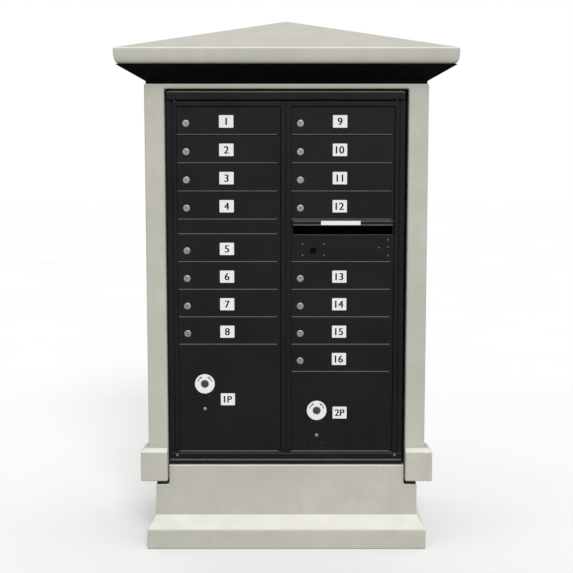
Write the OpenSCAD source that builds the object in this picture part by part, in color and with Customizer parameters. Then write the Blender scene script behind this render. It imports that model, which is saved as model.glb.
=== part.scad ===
// Cluster mailbox unit in a cast-stone surround.
// Two master doors on pivot pins carry sixteen tenant doors and two parcel doors.
// Frame: millimetres, +Z up, front towards -Y, origin on the ground under the roof's centre.
// "Face" coordinates, used for the cabinet, have y = 0 on the door faces and y growing inwards.

/* [Stone surround] */
// Width of the stone column
column_w = 914; // [900:1:930]
// Depth of the stone column
column_d = 560; // [550:1:600]
// Height of the foot of the stone column
column_foot_z = 230; // [226:1:234]
// Height of the top of the stone column
column_top_z = 1528.5; // [1524:0.5:1532]
// Width of the jamb on each side of the opening
jamb_w = 64; // [60:1:66]
// Height of the underside of the lintel
lintel_z = 1513; // [1510:1:1518]
// Front-to-back size of the lintel
lintel_d = 42; // [30:1:60]
// Thickness of the rear panel
rear_panel_t = 40; // [25:1:45]

/* [Roof] */
// Width of the roof over the eaves
roof_w = 1084; // [1070:1:1100]
// Depth of the roof over the eaves
roof_d = 730; // [720:1:780]
// Height of the bottom of the fascia
fascia_z = 1584.5; // [1580:0.5:1590]
// Height of the fascia band
fascia_h = 50.5; // [40:0.5:60]
// Height of the roof's apex
apex_z = 1757; // [1700:1:1800]
// Wall thickness of the hollow roof cap
roof_t = 35; // [25:1:45]
// Height of the straight neck under the eaves
neck_h = 11.5; // [8:0.5:14]
// How far the neck stands back from the column's faces
neck_inset = 5; // [2:1:10]

/* [Base] */
// Width of the lower stone cover
cover_w = 867; // [850:1:880]
// Height of the shoulders that carry the column
shoulder_z = 213; // [205:1:218]
// Width of the raised front panel between the jambs
tongue_w = 780; // [740:1:782]
// Height of the raised front panel
tongue_z = 279; // [260:1:280]
// Wall thickness of the lower stone cover
cover_t = 40; // [30:1:42]
// How far the plinth spreads beyond the cover on each side
plinth_spread = 28.5; // [15:0.5:35]
// Height of the plinth's upright face
plinth_h = 65; // [50:1:75]
// Height at which the plinth's bevel meets the cover
bevel_z = 111; // [95:1:130]
// Projection of the foot blocks from the column
block_out = 24; // [15:1:30]
// How far the foot blocks return along the sides
block_return = 55; // [40:1:90]
// Height of the foot blocks' tops
block_z = 341; // [320:1:360]
// Bevel on the foot blocks' tops
block_bevel = 13; // [6:1:18]

/* [Cabinet] */
// Width of the cabinet
cabinet_w = 770; // [768:1:774]
// Depth of the cabinet behind the door faces
cabinet_d = 457; // [440:1:470]
// Sideways offset of the cabinet in the opening
cabinet_x = -2; // [-3:0.5:3]
// How far the door faces stand behind the column's front
recess = 14; // [12:0.5:20]
// Height of the cabinet's underside
cabinet_z = 281; // [280.5:0.5:282]
// Height of the cabinet's top
cabinet_top_z = 1506; // [1505:0.5:1508]
// Thickness of the cabinet sheet
sheet_t = 3; // [2:0.5:3.5]
// Width of the cabinet's front flanges
flange_w = 15; // [10:0.5:15]
// Height of the underside of the top hood
hood_z = 1476.5; // [1475:0.5:1480]
// Projection of the top hood
hood_out = 9; // [4:0.5:12]
// Height of the sill's top
sill_z = 315.5; // [314:0.5:316]
// Height of the sill's ledge
ledge_z = 295; // [290:1:300]
// Projection of the sill's ledge
ledge_out = 6; // [3:0.5:10]

/* [Doors] */
// Width of each compartment door
door_w = 334; // [330:1:334]
// Thickness of each compartment door
door_t = 3; // [2.5:0.1:3]
// Width of the stile between the two columns of doors
centre_stile_w = 36; // [34:1:38]
// Height pitch of the compartments
row_pitch = 91; // [90:0.5:91]
// Gap between one door and the next
row_gap = 3; // [2.5:0.5:4]
// Height of the lowest edge of the first row
first_row_z = 1366; // [1365:0.5:1367]
// Height of the lowest edge of the fifth row
fifth_row_z = 954; // [953:0.5:955]
// Height of the blank panel between the fourth and fifth rows
blank_h = 45; // [43:0.5:45]
// Height of the lowest edge of the parcel doors
parcel_z = 321.5; // [321.5:0.5:324]
// Depth of the master doors
master_t = 18; // [18:0.5:19]

/* [Locks] */
// Distance of a tenant lock from its door's free edge
lock_x = 29; // [27:0.5:32]
// Height of a tenant lock above its door's lowest edge
lock_z = 37; // [34:0.5:44]
// Radius of a tenant lock's flange
flange_r = 11.5; // [11:0.5:13]
// Length of a tenant lock's cam from the lock's centre
cam_len = 28; // [26:0.5:29.5]
// Distance of a parcel lock from its door's free edge
parcel_lock_x = 84; // [80:1:88]

/* [Pedestal] */
// Width of the base plate
base_plate_w = 342; // [330:1:360]
// Depth of the base plate
base_plate_d = 292; // [284:1:310]
// Anchor hole spacing across the base plate
anchor_x = 292; // [280:1:296]
// Anchor hole spacing from front to back
anchor_y = 238; // [230:1:242]
// Radius of each anchor hole
anchor_r = 8; // [6:0.5:9]

/* [Hidden] */
g = 0.02;                       // assembly gap between pieces that sit against each other
$fn = 48;
face_y = -column_d / 2 + recess;
row_h = row_pitch - row_gap;
pivot_x = cabinet_w / 2 - 25;   // master door pivot, from the cabinet's centre
pivot_y = 7;                    // and behind the door faces
pin_r = 3;
rod_r = 1.5;
barrel_r = 3;
run = 0.06;                     // radial running clearance
door_gap = 1.5;                 // upright gap beside each compartment door
rail_y = 8;                     // front of the rails that the doors close over
master_z = sill_z + 1.5;
master_top_z = hood_z - 3;
rack_y = 27;                    // front of the shelves
rack_back_y = cabinet_d - sheet_t;
slot_z = 1044;                  // mail slot, from here up to the hood
mail_hood_z = 1073;
bar_z = 990;                    // centre height of the latch bar
bar_h = 16;
bar_y = 22;
stone = [0.72, 0.71, 0.66];
black = [0.12, 0.13, 0.14];
steel = [0.62, 0.62, 0.62];
DOORS = [for (n = [1:16]) n];

function two(n) = n < 10 ? str("0", n) : str(n);
// The lowest edge of each row of compartments. A blank band lies between rows 3 and 4.
function row_z(k) = k < 4 ? first_row_z - k * row_pitch : fifth_row_z - (k - 4) * row_pitch;
// The left edge of a column of doors, from the cabinet's centre. Column 0 is on the left.
function col_x(c) = c == 0 ? -centre_stile_w / 2 - door_w : centre_stile_w / 2;
function door_col(n) = n <= 8 ? 0 : 1;
function door_row(n) = n <= 8 ? n - 1 : n <= 12 ? n - 9 : n - 8;
blank_z = row_z(3) - row_gap - blank_h;
left_lines = [for (k = [0:7]) row_z(k), blank_z];
right_lines = [for (k = [0:8]) row_z(k)];

// ---------- shared shapes ----------

// Children drawn in face coordinates, from the cabinet's centre line.
module at_face() {
    translate([cabinet_x, face_y, 0]) children();
}

// Children drawn from the lower free corner of a door in column c at height z.
module at_door(c, z) {
    at_face() translate([col_x(c), 0, z]) children();
}

// A box given by its two opposite corners.
module slab(a, b) {
    translate(a) cube(b - a);
}

// A cylinder along +Y from y0 to y1.
module rod_y(r, y0, y1, fn = 48) {
    translate([0, y0, 0]) rotate([-90, 0, 0]) cylinder(r = r, h = y1 - y0, $fn = fn);
}

// A straight-sided frustum on a rectangle, exact on all its planes.
module frustum(w0, d0, w1, d1, h) {
    intersection() {
        translate([0, d0 + d1, 0]) rotate([90, 0, 0]) linear_extrude(2 * (d0 + d1))
            polygon([[-w0 / 2, 0], [w0 / 2, 0], [w1 / 2, h], [-w1 / 2, h]]);
        translate([-(w0 + w1), 0, 0]) rotate([90, 0, 90]) linear_extrude(2 * (w0 + w1))
            polygon([[-d0 / 2, 0], [d0 / 2, 0], [d1 / 2, h], [-d1 / 2, h]]);
    }
}

// A pyramid on a rectangle.
module pyramid(w, d, h) {
    intersection() {
        translate([0, d, 0]) rotate([90, 0, 0]) linear_extrude(2 * d)
            polygon([[-w / 2, 0], [w / 2, 0], [0, h]]);
        translate([-w, 0, 0]) rotate([90, 0, 90]) linear_extrude(2 * w)
            polygon([[-d / 2, 0], [d / 2, 0], [0, h]]);
    }
}

// ---------- stone surround ----------

module roof_cap() {
    color(stone) difference() {
        union() {
            translate([-roof_w / 2, -roof_d / 2, fascia_z]) cube([roof_w, roof_d, fascia_h]);
            translate([0, 0, fascia_z + fascia_h - 0.5])
                pyramid(roof_w, roof_d, apex_z - fascia_z - fascia_h + 0.5);
        }
        translate([-roof_w / 2 + roof_t, -roof_d / 2 + roof_t, fascia_z - 1])
            cube([roof_w - 2 * roof_t, roof_d - 2 * roof_t, fascia_h - 15]);
        translate([0, 0, fascia_z + fascia_h - 17])
            pyramid(roof_w - 2 * roof_t, roof_d - 2 * roof_t, apex_z - fascia_z - fascia_h - 20);
    }
}

// The dark corbelled tray between the column and the roof cap.
module roof_soffit() {
    nw = column_w - 2 * neck_inset;
    nd = column_d - 2 * neck_inset;
    z1 = column_top_z + neck_h;
    h = fascia_z - z1;
    t = 12;
    color(black) difference() {
        union() {
            translate([-nw / 2, -nd / 2, column_top_z]) cube([nw, nd, neck_h + 0.5]);
            translate([0, 0, z1]) frustum(nw, nd, roof_w - 10, roof_d - 10, h);
        }
        translate([0, 0, z1 + t])
            frustum(nw - 20, nd - 20, roof_w - 60, roof_d - 60, h);
    }
}

module column_shell() {
    hw = column_w / 2;
    hd = column_d / 2;
    color(stone) {
        for (s = [-1, 1])
            slab([s < 0 ? -hw : hw - jamb_w, -hd, column_foot_z],
                 [s < 0 ? jamb_w - hw : hw, hd, column_top_z]);
        slab([jamb_w - hw + g, -hd, lintel_z], [hw - jamb_w - g, lintel_d - hd, column_top_z]);
    }
}

module rear_panel() {
    hw = column_w / 2 - jamb_w - 2 * g;
    color(stone)
        slab([-hw, column_d / 2 - rear_panel_t, column_foot_z], [hw, column_d / 2, column_top_z]);
}

// One block wraps the foot of each jamb: front face, outer return and a bevelled top.
module base_blocks() {
    x0 = column_w / 2 - jamb_w;
    x1 = column_w / 2 + block_out;
    y0 = -column_d / 2 - block_out;
    y1 = -column_d / 2 + block_return;
    zb = block_z - block_bevel;
    color(stone) for (s = [0, 1]) mirror([s, 0, 0]) difference() {
        intersection() {
            translate([0, y1, 0]) rotate([90, 0, 0]) linear_extrude(y1 - y0)
                polygon([[x0, column_foot_z], [x1, column_foot_z], [x1, zb],
                         [x1 - block_bevel, block_z], [x0, block_z]]);
            translate([x0 - 1, 0, 0]) rotate([90, 0, 90]) linear_extrude(x1 - x0 + 2)
                polygon([[y0, column_foot_z], [y1, column_foot_z], [y1, block_z],
                         [y0 + block_bevel, block_z], [y0, zb]]);
        }
        slab([x0 - 1, -column_d / 2 - g, 0], [column_w / 2 + g, y1 + 1, block_z + 1]);
    }
}

module pedestal_cover() {
    hw = cover_w / 2;
    hd = column_d / 2;
    pw = cover_w + 2 * plinth_spread;
    pd = column_d + 2 * plinth_spread;
    color(stone) difference() {
        union() {
            translate([-pw / 2, -pd / 2, 0]) cube([pw, pd, plinth_h]);
            translate([0, 0, plinth_h]) frustum(pw, pd, cover_w, column_d, bevel_z - plinth_h);
            slab([-hw, -hd, bevel_z - 1], [hw, hd, shoulder_z]);
            slab([-tongue_w / 2, -hd, bevel_z], [tongue_w / 2, cover_t - hd, tongue_z]);
        }
        slab([cover_t - hw, cover_t - hd, -1], [hw - cover_t, hd - cover_t, tongue_z + 1]);
    }
}

// Dark pads that lift the column off the shoulders, set back a little from the faces.
module setting_pads() {
    hd = column_d / 2;
    color([0.07, 0.07, 0.07]) {
        for (s = [0, 1]) mirror([s, 0, 0])
            slab([cover_w / 2 - cover_t + 2, 6 - hd, shoulder_z],
                 [cover_w / 2 - 3, hd - 6, column_foot_z]);
        slab([g + cover_t - cover_w / 2 + 2, hd - cover_t + 4, shoulder_z],
             [cover_w / 2 - cover_t - 2 - g, hd - 6, column_foot_z]);
    }
}

// ---------- pedestal and fixings ----------

// The four corners of a rectangle of holes, around the cabinet's centre.
module four(sx, sy) {
    for (x = [-1, 1], y = [-1, 1])
        translate([cabinet_x + x * sx / 2, face_y + cabinet_d / 2 + y * sy / 2, 0]) children();
}

module pedestal_frame() {
    cy = face_y + cabinet_d / 2;
    color(black) {
        difference() {
            slab([cabinet_x - base_plate_w / 2, cy - base_plate_d / 2, 0],
                 [cabinet_x + base_plate_w / 2, cy + base_plate_d / 2, 10]);
            four(anchor_x, anchor_y) translate([0, 0, -1]) cylinder(r = anchor_r, h = 12);
        }
        difference() {
            slab([cabinet_x - 75, cy - 75, 10 + g], [cabinet_x + 75, cy + 75, cabinet_z - 10 - g]);
            slab([cabinet_x - 69, cy - 69, 0], [cabinet_x + 69, cy + 69, cabinet_z]);
        }
        difference() {
            slab([cabinet_x - 150, cy - 130, cabinet_z - 10], [cabinet_x + 150, cy + 130, cabinet_z]);
            four(240, 200) translate([0, 0, cabinet_z - 11]) cylinder(r = 5.5, h = 12);
        }
    }
}

// Bolts through the cabinet floor, two sill screws and six screws in the rear panel.
module fixing_screws() {
    color(steel) {
        four(240, 200) {
            translate([0, 0, cabinet_z - 20]) cylinder(r = 5, h = sheet_t + 20);
            translate([0, 0, cabinet_z + sheet_t]) cylinder(r = 9, h = 7, $fn = 6);
            translate([0, 0, cabinet_z - 19]) cylinder(r = 9, h = 9 - g, $fn = 6);
        }
        for (s = [-1, 1])
            at_face() translate([s * 361.5, 0, (sill_z + ledge_z) / 2 + 4])
                rod_y(3.5, -1.5, -g, 24);
        for (s = [-1, 1], z = [330, 870, 1410])
            translate([s * 330, column_d / 2, z]) rod_y(8, g, 3, 24);
    }
}

// ---------- cabinet ----------

module cabinet_shell() {
    hw = cabinet_w / 2;
    back = cabinet_d - sheet_t;
    color(black) at_face() {
        for (s = [0, 1]) mirror([s, 0, 0]) {
            slab([hw - sheet_t, 4, cabinet_z], [hw, back - g, cabinet_top_z]);
            slab([hw - flange_w, 0, sill_z + g], [hw, 4 - g, hood_z - g]);
        }
        slab([g + sheet_t - hw, 4 + g, cabinet_top_z - sheet_t],
             [hw - sheet_t - g, back - g, cabinet_top_z]);
        difference() {
            slab([g + sheet_t - hw, 4 + g, cabinet_z],
                 [hw - sheet_t - g, back - g, cabinet_z + sheet_t]);
            translate([-cabinet_x, -face_y, 0]) four(240, 200)
                translate([0, 0, cabinet_z - 1]) cylinder(r = 5.5, h = sheet_t + 2);
        }
        slab([-hw, back, cabinet_z], [hw, cabinet_d, cabinet_top_z]);
    }
}

// Shelves between every compartment, the centre partition, and the strike for the latch bar.
module compartment_rack() {
    inner = cabinet_w / 2 - sheet_t - g;
    t = 3;
    color(black) at_face() {
        slab([-t / 2, rack_y, cabinet_z + sheet_t + g],
             [t / 2, rack_back_y - 2 * g, cabinet_top_z - sheet_t - g]);
        for (z = concat(left_lines, [parcel_z - 2]))
            slab([-inner, rack_y, z - t], [-t / 2 - g, rack_back_y - 2 * g, z]);
        for (z = concat(right_lines, [parcel_z - 2]))
            slab([t / 2 + g, rack_y, z - t], [inner, rack_back_y - 2 * g, z]);
        slab([-9.5, 19, bar_z - 14], [2.5, 21.3, bar_z + 14]);
        for (s = [-1, 1])
            slab([-9.5, 21.3 + g, bar_z + s * 11.5 - 2.5], [2.5, rack_y - g, bar_z + s * 11.5 + 2.5]);
    }
}

// A bullnose band across the top of the cabinet, with a plain bar behind that holds the pins.
module top_hood() {
    hw = cabinet_w / 2;
    h = cabinet_top_z - hood_z;
    r = 10;
    color(black) at_face() difference() {
        union() {
            translate([0, 4 - g, hood_z]) rotate([90, 0, 0]) linear_extrude(hood_out + 4 - g) {
                translate([-hw, 0]) square([cabinet_w, h - r]);
                translate([r - hw, 0]) square([cabinet_w - 2 * r, h]);
                for (s = [-1, 1]) translate([s * (hw - r), h - r]) circle(r = r);
            }
            slab([sheet_t + g - hw, 0, hood_z], [hw - sheet_t - g, 26, cabinet_top_z - sheet_t - g]);
        }
        for (s = [-1, 1]) translate([s * pivot_x, pivot_y, hood_z - 1]) cylinder(r = pin_r + g, h = 11);
    }
}

module bottom_sill() {
    hw = cabinet_w / 2;
    color(black) at_face() difference() {
        union() {
            slab([-hw, -ledge_out, cabinet_z], [hw, 4 - 2 * g, ledge_z]);
            slab([-hw, 0, cabinet_z], [hw, 4 - 2 * g, sill_z]);
            slab([sheet_t + g - hw, 0, cabinet_z + sheet_t + g], [hw - sheet_t - g, 26, sill_z]);
        }
        for (s = [-1, 1]) translate([s * pivot_x, pivot_y, sill_z - 8]) cylinder(r = pin_r + g, h = 9);
    }
}

// Four fixed pins that the master doors swing on.
module master_hinge_pins() {
    color(steel) at_face() for (s = [-1, 1]) translate([s * pivot_x, pivot_y, 0]) {
        translate([0, 0, sill_z - 7.5]) cylinder(r = pin_r, h = 19);
        translate([0, 0, hood_z - 15]) cylinder(r = pin_r, h = 24);
    }
}

// ---------- master doors ----------

// A master door drawn for column c: outer and centre stiles, rails behind the door joints,
// and a stop lip that the lock cams swing behind. Mirrored stiles, so c only picks the side.
module master_frame(c, lines) {
    s = c == 0 ? -1 : 1;
    x0 = col_x(c);
    outer_x = cabinet_w / 2 - flange_w - 5;
    at_face() {
        difference() {
            slab([s < 0 ? -outer_x : x0 + door_w + door_gap, 0, master_z],
                 [s < 0 ? x0 - door_gap : outer_x, master_t, master_top_z]);
            for (z = [master_z - 1, master_top_z - 13])
                translate([s * pivot_x, pivot_y, z]) cylinder(r = pin_r + run, h = 14);
        }
        slab([s < 0 ? x0 + door_w + door_gap : 0.5, 0, master_z],
             [s < 0 ? -0.5 : x0 - door_gap, master_t, master_top_z]);
        difference() {
            slab([x0 - door_gap + g, 0, first_row_z + row_h + 3.5],
                 [x0 + door_w + door_gap - g, master_t, master_top_z]);
            translate([x0 + door_w - barrel_r, barrel_r, first_row_z + row_h])
                cylinder(r = rod_r + g, h = 14);
        }
        difference() {
            union() {
                slab([x0 - door_gap + g, 0, master_z], [x0 + door_w + door_gap - g, master_t, parcel_z - 1]);
                slab([x0 - door_gap + g, rail_y, master_z],
                     [x0 + door_w + door_gap - g, master_t, parcel_z + 8]);
            }
            translate([x0 + door_w - barrel_r, barrel_r, master_z - 1]) cylinder(r = rod_r + g, h = 6);
        }
        for (z = lines)
            slab([x0 - door_gap + g, rail_y, z - 6.5], [x0 + door_w + door_gap - g, master_t, z + 3.5]);
        slab([x0 - door_gap + g, 6, parcel_z + 8 + g], [x0 + 5, rail_y - g, first_row_z + row_h + 3]);
    }
}

// The left master carries a hook plate that the latch bar passes in front of.
module left_master_door() {
    color(black) {
        master_frame(0, left_lines);
        at_face() {
            slab([-16, 27.3, bar_z - 14], [-12, 30, bar_z + 14]);
            for (s = [-1, 1])
                slab([-16, master_t + g, bar_z + s * 11.5 - 2.5], [-12, 27.3 - g, bar_z + s * 11.5 + 2.5]);
        }
    }
}

module right_master_door() {
    color(black) master_frame(1, concat(right_lines, [slot_z - 3.5]));
}

// The long rod through a column's door barrels.
module hinge_rod(c) {
    color(steel) at_door(c, 0) translate([door_w - barrel_r, barrel_r, master_z + 1])
        cylinder(r = rod_r, h = first_row_z + row_h + 12 - master_z);
}

// A fixed face panel with return flanges on the rails. A rebate clears the hinge rod.
module face_panel(h) {
    difference() {
        union() {
            cube([door_w, door_t, h]);
            drip_lip();
            slab([8, door_t - 0.5, 0], [door_w - 8, rail_y - g, 2]);
            slab([8, door_t - 0.5, h - 2], [door_w - 8, rail_y - g, h]);
        }
        slab([door_w - 6, 1.2, -1], [door_w + 1, rail_y, h + 1]);
    }
}

// The bevelled bead along the lowest edge of each door.
module drip_lip() {
    translate([2, 0, 0]) rotate([90, 0, 90]) linear_extrude(door_w - 12)
        polygon([[0.2, 0], [-1.5, 0], [-1.5, 1.2], [0, 3.6], [0.2, 3.6]]);
}

module blank_filler_panel() {
    color(black) at_door(0, blank_z) face_panel(blank_h);
}

module carrier_lock_panel() {
    rx = 71;
    color(black) at_door(1, row_z(4)) difference() {
        union() {
            face_panel(87);
            for (x = [-1, 1], z = [-1, 1]) translate([rx + x * 35, 0, 40 + z * 18]) rod_y(2.5, -0.9, 0.1, 16);
            for (z = [21, 49, 73]) translate([door_w - 19, 0, z]) rod_y(2.2, -0.9, 0.1, 16);
        }
        translate([rx, 0, 37]) rod_y(11, -1, door_t + 1);
    }
}

// A shallow weather hood with a label face, over the open mail slot.
module mail_slot_hood() {
    h = row_z(3) - row_gap - mail_hood_z;
    color(black) at_door(1, mail_hood_z) difference() {
        union() {
            cube([door_w, door_t, h]);
            slab([6, -16, 0], [door_w - 6, 0.5, 14]);
            slab([8, door_t - 0.5, h - 2], [door_w - 8, rail_y - g, h]);
        }
        slab([8.5, -13.5, -1], [door_w - 8.5, -g, 11.5]);
        slab([door_w - 6, 1.2, -1], [door_w + 1, rail_y, h + 1]);
    }
}

// ---------- carrier lock ----------

module carrier_lock_case() {
    x = centre_stile_w / 2 + 71;
    zc = row_z(4) + 37;
    color(steel) at_face() {
        difference() {
            slab([x - 45, door_t + g, zc - 30], [x + 45, 21, zc + 30]);
            translate([x, 0, zc]) rod_y(9 + run, 0, 30);
        }
        for (dx = [-35, 27]) {
            for (s = [-1, 1])
                slab([x + dx, 21 + g, bar_z + s * 10 - 1.4], [x + dx + 8, 29, bar_z + s * 10 + 1.4]);
            slab([x + dx, 26.6, bar_z - 8.5], [x + dx + 8, 29, bar_z + 8.5]);
        }
    }
}

module carrier_lock_plug() {
    x = centre_stile_w / 2 + 71;
    zc = row_z(4) + 37;
    color(steel) at_face() translate([x, 0, zc]) difference() {
        rod_y(9, 4, 20.5);
        slab([-1, 3, -5], [1, 8, 5]);
    }
}

// The bar slides towards the left door, through the strike and in front of the hook plate.
module master_latch_bar() {
    color(steel) at_face()
        slab([4, bar_y, bar_z - bar_h / 2], [centre_stile_w / 2 + 122, bar_y + 4, bar_z + bar_h / 2]);
}

// ---------- compartment doors and their locks ----------

// A door leaf with its barrel bored for the hinge rod, and a hole for the lock.
module door_leaf(h, hole_x, hole_z, hole_r) {
    difference() {
        union() {
            cube([door_w - barrel_r, door_t, h]);
            translate([door_w - barrel_r, barrel_r, 0]) cylinder(r = barrel_r, h = h);
            drip_lip();
        }
        translate([door_w - barrel_r, barrel_r, -1]) cylinder(r = rod_r + run, h = h + 2);
        translate([hole_x, 0, hole_z]) rod_y(hole_r, -3, door_t + 3);
    }
}

// The lock's fixed barrel: front flange, body through the door and hexagon nut behind.
module lock_body(fr, br, bore) {
    difference() {
        union() {
            rod_y(fr, -2, -g);
            rod_y(br, -1, 8.5);
            rod_y(br + 4, door_t + g, 7.5, 6);
        }
        rod_y(bore, -3, 10);
    }
}

// The turning plug with its keyway, and the cam behind it. The cam hangs down when unlocked.
module lock_plug(r, len) {
    difference() {
        union() {
            rod_y(r, -2.6, 9);
            rod_y(4, 8.5, 13);
            slab([-5, 9, 5 - len], [5, 11, 6]);
            translate([0, 0, 5 - len]) rod_y(5, 9, 11, 24);
        }
        slab([-0.8, -3, -r * 0.6], [0.8, 0, r * 0.6]);
    }
}

module tenant_door(n) {
    color(black) at_door(door_col(n), row_z(door_row(n))) {
        door_leaf(row_h, lock_x, lock_z, 9.55);
        translate([lock_x, 0, lock_z]) lock_body(flange_r, 9.5, 7 + run);
    }
}

module tenant_lock(n) {
    color(steel) at_door(door_col(n), row_z(door_row(n)))
        translate([lock_x, 0, lock_z]) lock_plug(7, cam_len);
}

// Parcel doors share a lock height measured from each door's own lock centre.
function parcel_top(c) = row_z(c == 0 ? 7 : 8) - row_gap;
function parcel_lock_z(c) = (c == 0 ? 550 : 460.5) - parcel_z;

module parcel_door(c) {
    pz = parcel_lock_z(c);
    color(black) at_door(c, parcel_z) {
        door_leaf(parcel_top(c) - parcel_z, parcel_lock_x, pz, 10.55);
        translate([parcel_lock_x, 0, pz]) {
            lock_body(13, 10.5, 8 + run);
            for (x = [-17, 17], z = [-41, -111]) translate([x, 0, z]) rod_y(2.2, -1, -g, 16);
            translate([0, 0, -84]) rod_y(4, -1.6, -g, 24);
            slab([-24, door_t + g, -118], [24, 8.2, -32]);
        }
    }
}

module parcel_lock(c) {
    color(steel) at_door(c, parcel_z) translate([parcel_lock_x, 0, parcel_lock_z(c)])
        lock_plug(8, parcel_lock_x - 1);
}

roof_cap();
roof_soffit();
column_shell();
rear_panel();
base_blocks();
pedestal_cover();
setting_pads();
pedestal_frame();
fixing_screws();
cabinet_shell();
compartment_rack();
top_hood();
bottom_sill();
master_hinge_pins();
left_master_door();
hinge_rod(0);  // left_hinge_rod
blank_filler_panel();
right_master_door();
hinge_rod(1);  // right_hinge_rod
carrier_lock_panel();
mail_slot_hood();
carrier_lock_case();
carrier_lock_plug();
master_latch_bar();
parcel_door(0);  // parcel_door_1
parcel_door(1);  // parcel_door_2
parcel_lock(0);  // parcel_lock_1
parcel_lock(1);  // parcel_lock_2
for (n = DOORS) {
    tenant_door(n);
    tenant_lock(n);
}
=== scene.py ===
# %% [markdown]
# # A cluster mailbox unit in a cast-stone surround
# The object is a black metal mail cabinet, with sixteen small doors and two parcel doors, that
# stands inside a pale stone frame with a pyramid roof. The sizes, the moving bodies and the
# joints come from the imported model. This lesson dresses that model: it rebuilds the visible
# pieces with worn edges and cast corners, gives every surface a procedural finish, and sets the
# camera, the floor and the light.

import math

import bmesh
import bpy
from mathutils import Matrix, Vector


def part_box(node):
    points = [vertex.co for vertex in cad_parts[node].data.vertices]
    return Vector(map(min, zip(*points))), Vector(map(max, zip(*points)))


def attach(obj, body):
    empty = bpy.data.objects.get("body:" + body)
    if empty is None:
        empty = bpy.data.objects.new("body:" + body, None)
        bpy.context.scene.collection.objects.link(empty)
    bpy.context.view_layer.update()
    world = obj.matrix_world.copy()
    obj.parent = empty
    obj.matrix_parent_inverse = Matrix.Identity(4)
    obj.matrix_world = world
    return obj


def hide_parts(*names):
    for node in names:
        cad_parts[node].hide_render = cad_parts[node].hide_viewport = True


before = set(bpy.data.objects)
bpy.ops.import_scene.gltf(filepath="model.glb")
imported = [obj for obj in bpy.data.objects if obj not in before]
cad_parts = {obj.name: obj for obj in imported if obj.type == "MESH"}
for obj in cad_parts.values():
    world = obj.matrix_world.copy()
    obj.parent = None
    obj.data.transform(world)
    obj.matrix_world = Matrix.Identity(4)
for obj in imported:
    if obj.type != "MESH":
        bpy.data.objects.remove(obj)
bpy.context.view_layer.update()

# %% [markdown]
# Sizes are easiest to read in millimetres, and Blender works in metres. So each piece is drawn in
# millimetres and scaled once, at the moment when its mesh becomes an object. Positions are read
# from the model's own boxes, so a piece sits where its hidden stand-in sits.

# %% Read positions in millimetres
MM = 0.001


def box_mm(node):
    """The lowest and highest corners of a node of the model, in millimetres."""
    low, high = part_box(node)
    return low / MM, high / MM


FACE = box_mm("left_master_door")[0].y      # plane of the door faces; inwards is +Y
STONE = box_mm("column_shell")              # the column's outer corners
CENTRE = (box_mm("left_master_door")[1].x + box_mm("right_master_door")[0].x) / 2
LEFT_DOORS = ["tenant_door_%02d" % n for n in range(1, 9)]
RIGHT_DOORS = ["tenant_door_%02d" % n for n in range(9, 17)]
print("door faces at y = %.1f mm, centre line at x = %.1f mm" % (FACE, CENTRE))

# %% [markdown]
# ## Helpers for effects
# Several finishes share the same effects: fine grain, broad patches of tone, and a ledge effect
# that paints upward slopes paler, as painted highlight with some dust, and level tops darker,
# partly grime and partly painted shade. Each effect is a node group with named inputs, so a
# material places it and only sets values. The groups read object coordinates, which stay with a
# piece when its door swings.

# %% Make an empty effect group
def effect(name, inputs, outputs):
    """A shader node group with float inputs and the outputs asked for."""
    tree = bpy.data.node_groups.new(name, "ShaderNodeTree")
    for label, value in inputs:
        socket = tree.interface.new_socket(label, in_out="INPUT", socket_type="NodeSocketFloat")
        socket.default_value = value
        socket.min_value, socket.max_value = 0.0, 5000.0
    for label in outputs:
        tree.interface.new_socket(label, in_out="OUTPUT", socket_type="NodeSocketFloat")
    return tree, tree.nodes.new("NodeGroupInput"), tree.nodes.new("NodeGroupOutput")


def wire(tree, start, end):
    """Link two sockets."""
    tree.links.new(start, end)


def noise(tree, place, scale, detail=3.0, rough=0.5):
    """A noise texture on the given coordinates. Its scale may be a number or a socket."""
    node = tree.nodes.new("ShaderNodeTexNoise")
    node.inputs["Detail"].default_value = detail
    node.inputs["Roughness"].default_value = rough
    wire(tree, place, node.inputs["Vector"])
    if isinstance(scale, (int, float)):
        node.inputs["Scale"].default_value = scale
    else:
        wire(tree, scale, node.inputs["Scale"])
    return node.outputs["Fac"]


def spread(tree, value, low, high, to_low=0.0, to_high=1.0):
    """Map a value from one range to another, and hold it there."""
    node = tree.nodes.new("ShaderNodeMapRange")
    ranges = {"From Min": low, "From Max": high, "To Min": to_low, "To Max": to_high}
    for label, number in ranges.items():
        node.inputs[label].default_value = number
    wire(tree, value, node.inputs["Value"])
    return node.outputs["Result"]


def maths(tree, kind, first, second):
    """A math node; either side may be a number or a socket."""
    node = tree.nodes.new("ShaderNodeMath")
    node.operation = kind
    for socket, value in zip(node.inputs, (first, second)):
        if isinstance(value, (int, float)):
            socket.default_value = value
        else:
            wire(tree, value, socket)
    return node.outputs[0]


# %% [markdown]
# ** Grain** is the small, sharp texture: sand in the stone, or the orange peel of powder coat.
# **Pits** are the small round air holes that a casting keeps. Fewer than half of the cells have
# one, and the stone paints them dark as painted shade in the hollow. **Patches** is the broad,
# soft change of tone from weather and handling. **Ledge dust and light** looks at the surface
# normal. Sloping faces are painted pale, a painted highlight with some dust, and nearly level
# ones are painted darker, partly grime and partly painted shade.

# %% Build the shared effects
def build_grain():
    tree, given, out = effect("Grain", [("Scale", 400.0)], ["Height", "Specks"])
    place = tree.nodes.new("ShaderNodeTexCoord").outputs["Object"]
    fine = noise(tree, place, given.outputs["Scale"], detail=2.0, rough=0.6)
    double = maths(tree, "MULTIPLY", given.outputs["Scale"], 2.3)
    sharp = noise(tree, place, double, detail=1.0)
    wire(tree, fine, out.inputs["Height"])
    wire(tree, spread(tree, sharp, 0.60, 0.72), out.inputs["Specks"])
    return tree


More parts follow.
